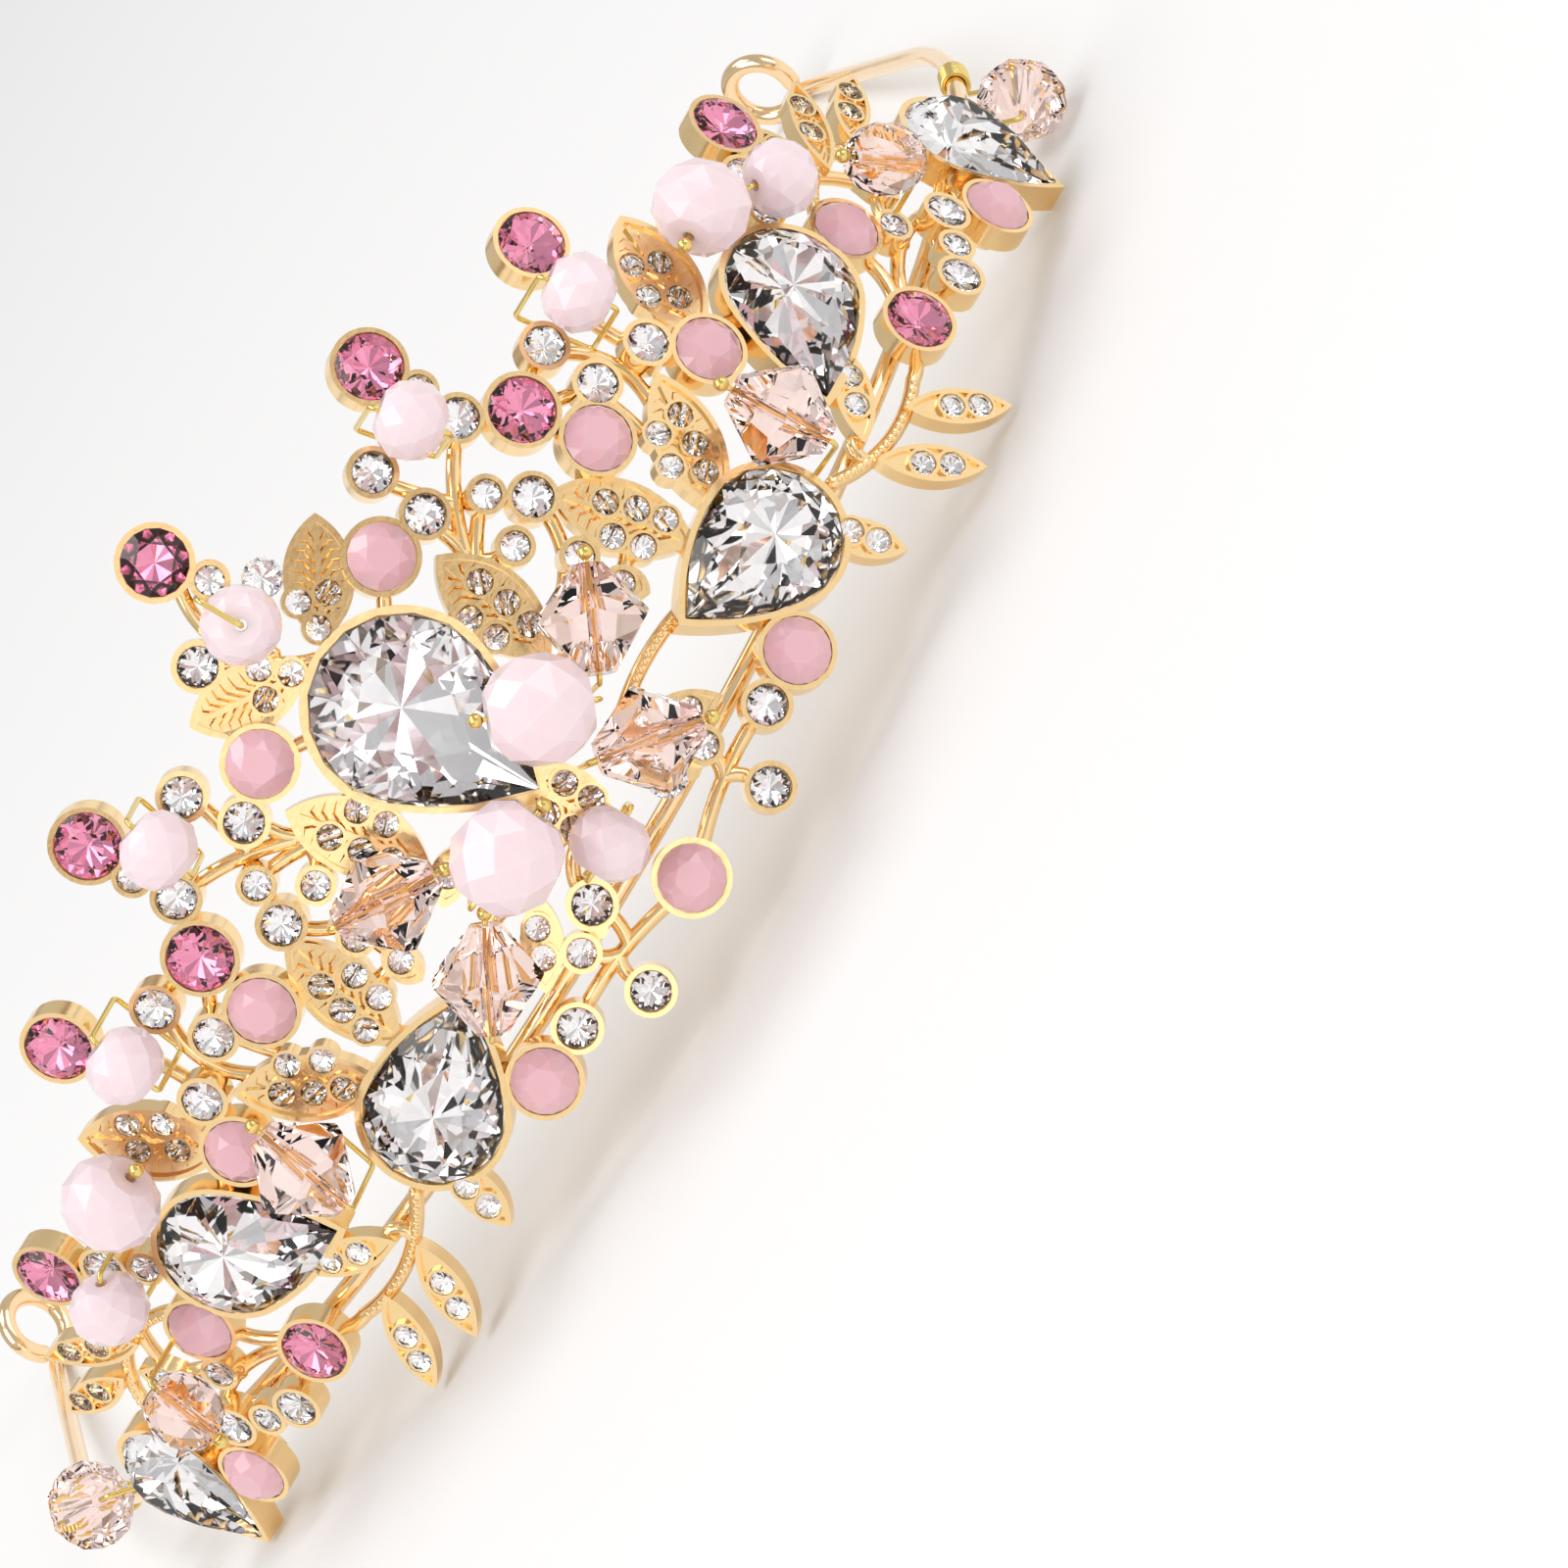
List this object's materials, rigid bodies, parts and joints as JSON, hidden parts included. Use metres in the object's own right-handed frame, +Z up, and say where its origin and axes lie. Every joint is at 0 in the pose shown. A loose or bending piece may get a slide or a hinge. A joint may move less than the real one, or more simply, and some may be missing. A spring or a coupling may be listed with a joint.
{
  "type": "beaded tiara",
  "caption": "Baroque tiara of openwork cast panels with set stones and wired beads on a springy wire head band with pin loops.",
  "frame": {"origin": "centre of the underside of the box round the tiara, on the table it rests on", "axes": "+X across the head, to the right seen from the front (the wearer's left); -Y to the front; +Z up from the table"},
  "size_m": [0.1294, 0.1194, 0.0516],
  "materials": {
    "cast_gold": "polished gold-plated zinc casting, warm rose-yellow",
    "band_gold": "polished gold-plated steel wire",
    "brass_wire": "fine soft brass binding wire, slightly green-yellow",
    "clear_crystal": "foil-backed clear cut crystal",
    "clear_chaton": "small foil-backed clear rhinestones",
    "rose_crystal": "foil-backed raspberry pink rhinestones",
    "mauve_opal": "translucent dusty mauve opal glass with a faceted dome",
    "milky_glass": "satin milky pale pink faceted glass",
    "blush_glass": "clear blush pink faceted glass"
  },
  "bodies": {
    "tiara": {"band_front": "band_gold", "bead_wires_centre": "brass_wire", "bead_wires_left": "brass_wire", "bead_wires_right": "brass_wire", "binding_wrap_left": "brass_wire", "binding_wrap_right": "brass_wire", "casting_centre": "cast_gold", "casting_end_left": "cast_gold", "casting_end_right": "cast_gold", "casting_outer_left": "cast_gold", "casting_outer_right": "cast_gold", "casting_side_left": "cast_gold", "casting_side_right": "cast_gold", "chatons_centre": "clear_chaton", "chatons_left": "clear_chaton", "chatons_right": "clear_chaton", "leaf_stones_centre": "clear_chaton", "leaf_stones_left": "clear_chaton", "leaf_stones_right": "clear_chaton", "opals_centre": "mauve_opal", "opals_left": "mauve_opal", "opals_right": "mauve_opal", "pear_centre": "clear_crystal", "pear_end_left": "clear_crystal", "pear_end_right": "clear_crystal", "pear_outer_left": "clear_crystal", "pear_outer_right": "clear_crystal", "pear_side_left": "clear_crystal", "pear_side_right": "clear_crystal", "rose_apex": "rose_crystal", "roses_left": "rose_crystal", "roses_right": "rose_crystal"},
    "bead_bicone_end_left_body": {"bead_bicone_end_left": "blush_glass"},
    "bead_bicone_end_right_body": {"bead_bicone_end_right": "blush_glass"},
    "bead_bicone_lower_left_body": {"bead_bicone_lower_left": "blush_glass"},
    "bead_bicone_lower_right_body": {"bead_bicone_lower_right": "blush_glass"},
    "bead_bicone_outer_left_body": {"bead_bicone_outer_left": "blush_glass"},
    "bead_bicone_outer_right_body": {"bead_bicone_outer_right": "blush_glass"},
    "bead_bicone_upper_left_body": {"bead_bicone_upper_left": "blush_glass"},
    "bead_bicone_upper_right_body": {"bead_bicone_upper_right": "blush_glass"},
    "bead_clear_left_body": {"bead_clear_left": "blush_glass"},
    "bead_clear_right_body": {"bead_clear_right": "blush_glass"},
    "bead_milky_bicone_left_body": {"bead_milky_bicone_left": "milky_glass"},
    "bead_milky_bicone_right_body": {"bead_milky_bicone_right": "milky_glass"},
    "bead_milky_bottom_body": {"bead_milky_bottom": "milky_glass"},
    "bead_milky_inner_left_body": {"bead_milky_inner_left": "milky_glass"},
    "bead_milky_inner_right_body": {"bead_milky_inner_right": "milky_glass"},
    "bead_milky_large_left_body": {"bead_milky_large_left": "milky_glass"},
    "bead_milky_large_right_body": {"bead_milky_large_right": "milky_glass"},
    "bead_milky_mid_left_body": {"bead_milky_mid_left": "milky_glass"},
    "bead_milky_mid_right_body": {"bead_milky_mid_right": "milky_glass"},
    "bead_milky_outer_left_body": {"bead_milky_outer_left": "milky_glass"},
    "bead_milky_outer_right_body": {"bead_milky_outer_right": "milky_glass"},
    "bead_milky_top_body": {"bead_milky_top": "milky_glass"},
    "arm_left": {"band_arm_left": "band_gold"},
    "arm_right": {"band_arm_right": "band_gold"}
  },
  "joints": [
    {"name": "bicone_end_left_spin", "type": "hinge", "parent": "tiara", "child": "bead_bicone_end_left_body", "pos_m": [-0.06157, -0.00969, 0.00995], "axis": [0.3665, -0.9268, 0.0824], "continuous": true},
    {"name": "bicone_end_right_spin", "type": "hinge", "parent": "tiara", "child": "bead_bicone_end_right_body", "pos_m": [0.06159, -0.01137, 0.00347], "axis": [0.3827, 0.9202, -0.0818], "continuous": true},
    {"name": "bicone_lower_left_spin", "type": "hinge", "parent": "tiara", "child": "bead_bicone_lower_left_body", "pos_m": [-0.01278, -0.05299, 0.01628], "axis": [0.8177, -0.0341, 0.5746], "continuous": true},
    {"name": "bicone_lower_right_spin", "type": "hinge", "parent": "tiara", "child": "bead_bicone_lower_right_body", "pos_m": [0.00681, -0.05499, 0.01557], "axis": [0.77, -0.0624, -0.635], "continuous": true},
    {"name": "bicone_outer_left_spin", "type": "hinge", "parent": "tiara", "child": "bead_bicone_outer_left_body", "pos_m": [-0.03062, -0.04703, 0.01915], "axis": [0.1782, 0.1334, 0.9749], "continuous": true},
    {"name": "bicone_outer_right_spin", "type": "hinge", "parent": "tiara", "child": "bead_bicone_outer_right_body", "pos_m": [0.03078, -0.04759, 0.01719], "axis": [-0.0534, 0.197, 0.9789], "continuous": true},
    {"name": "bicone_upper_left_spin", "type": "hinge", "parent": "tiara", "child": "bead_bicone_upper_left_body", "pos_m": [-0.01168, -0.05153, 0.02491], "axis": [0.8423, -0.2535, -0.4757], "continuous": true},
    {"name": "bicone_upper_right_spin", "type": "hinge", "parent": "tiara", "child": "bead_bicone_upper_right_body", "pos_m": [0.012, -0.05206, 0.02255], "axis": [0.7949, 0.2593, 0.5485], "continuous": true},
    {"name": "clear_left_spin", "type": "hinge", "parent": "tiara", "child": "bead_clear_left_body", "pos_m": [-0.05035, -0.03257, 0.01376], "axis": [-0.1482, -0.1071, -0.9831], "continuous": true},
    {"name": "clear_right_spin", "type": "hinge", "parent": "tiara", "child": "bead_clear_right_body", "pos_m": [0.05088, -0.03188, 0.01571], "axis": [-0.4172, -0.2179, 0.8823], "continuous": true},
    {"name": "milky_bicone_left_spin", "type": "hinge", "parent": "tiara", "child": "bead_milky_bicone_left_body", "pos_m": [-0.00503, -0.05575, 0.02025], "axis": [0.9943, -0.0874, -0.0617], "continuous": true},
    {"name": "milky_bicone_right_spin", "type": "hinge", "parent": "tiara", "child": "bead_milky_bicone_right_body", "pos_m": [0.00479, -0.0555, 0.02349], "axis": [-0.6475, 0.1188, 0.7528], "continuous": true},
    {"name": "milky_bottom_spin", "type": "hinge", "parent": "tiara", "child": "bead_milky_bottom_body", "pos_m": [-0.00064, -0.05371, 0.01392], "axis": [0.9999, -0.0122, 0.0011], "continuous": true},
    {"name": "milky_inner_left_spin", "type": "hinge", "parent": "tiara", "child": "bead_milky_inner_left_body", "pos_m": [-0.01656, -0.04721, 0.03937], "axis": [0.1983, 0.1587, 0.9672], "continuous": true},
    {"name": "milky_inner_right_spin", "type": "hinge", "parent": "tiara", "child": "bead_milky_inner_right_body", "pos_m": [0.01739, -0.04709, 0.03936], "axis": [-0.1988, 0.1573, 0.9673], "continuous": true},
    {"name": "milky_large_left_spin", "type": "hinge", "parent": "tiara", "child": "bead_milky_large_left_body", "pos_m": [-0.03967, -0.03877, 0.02758], "axis": [0.809, -0.5855, 0.0521], "continuous": true},
    {"name": "milky_large_right_spin", "type": "hinge", "parent": "tiara", "child": "bead_milky_large_right_body", "pos_m": [0.04075, -0.03836, 0.02714], "axis": [-0.8018, -0.5953, 0.0529], "continuous": true},
    {"name": "milky_mid_left_spin", "type": "hinge", "parent": "tiara", "child": "bead_milky_mid_left_body", "pos_m": [-0.03064, -0.0432, 0.03279], "axis": [0.1331, 0.1552, 0.9789], "continuous": true},
    {"name": "milky_mid_right_spin", "type": "hinge", "parent": "tiara", "child": "bead_milky_mid_right_body", "pos_m": [0.03102, -0.0432, 0.03279], "axis": [-0.1331, 0.1552, 0.9789], "continuous": true},
    {"name": "milky_outer_left_spin", "type": "hinge", "parent": "tiara", "child": "bead_milky_outer_left_body", "pos_m": [-0.04643, -0.03433, 0.02267], "axis": [0.5759, -0.3554, 0.7362], "continuous": true},
    {"name": "milky_outer_right_spin", "type": "hinge", "parent": "tiara", "child": "bead_milky_outer_right_body", "pos_m": [0.0456, -0.03548, 0.02257], "axis": [-0.6249, -0.3917, 0.6754], "continuous": true},
    {"name": "milky_top_spin", "type": "hinge", "parent": "tiara", "child": "bead_milky_top_body", "pos_m": [-0.00049, -0.04828, 0.04263], "axis": [-0.0104, -0.9778, 0.2093], "continuous": true},
    {"name": "arm_flex_left", "type": "hinge", "parent": "tiara", "child": "arm_left", "pos_m": [-0.06121, 0.00022, 0.00579], "axis": [0, 0.0886, 0.9961], "range_deg": [-5, 8], "stiffness_Nm_per_rad": 0.6},
    {"name": "arm_flex_right", "type": "hinge", "parent": "tiara", "child": "arm_right", "pos_m": [0.0616, 0.00022, 0.00579], "axis": [0, -0.0886, -0.9961], "range_deg": [-5, 8], "stiffness_Nm_per_rad": 0.6}
  ]
}
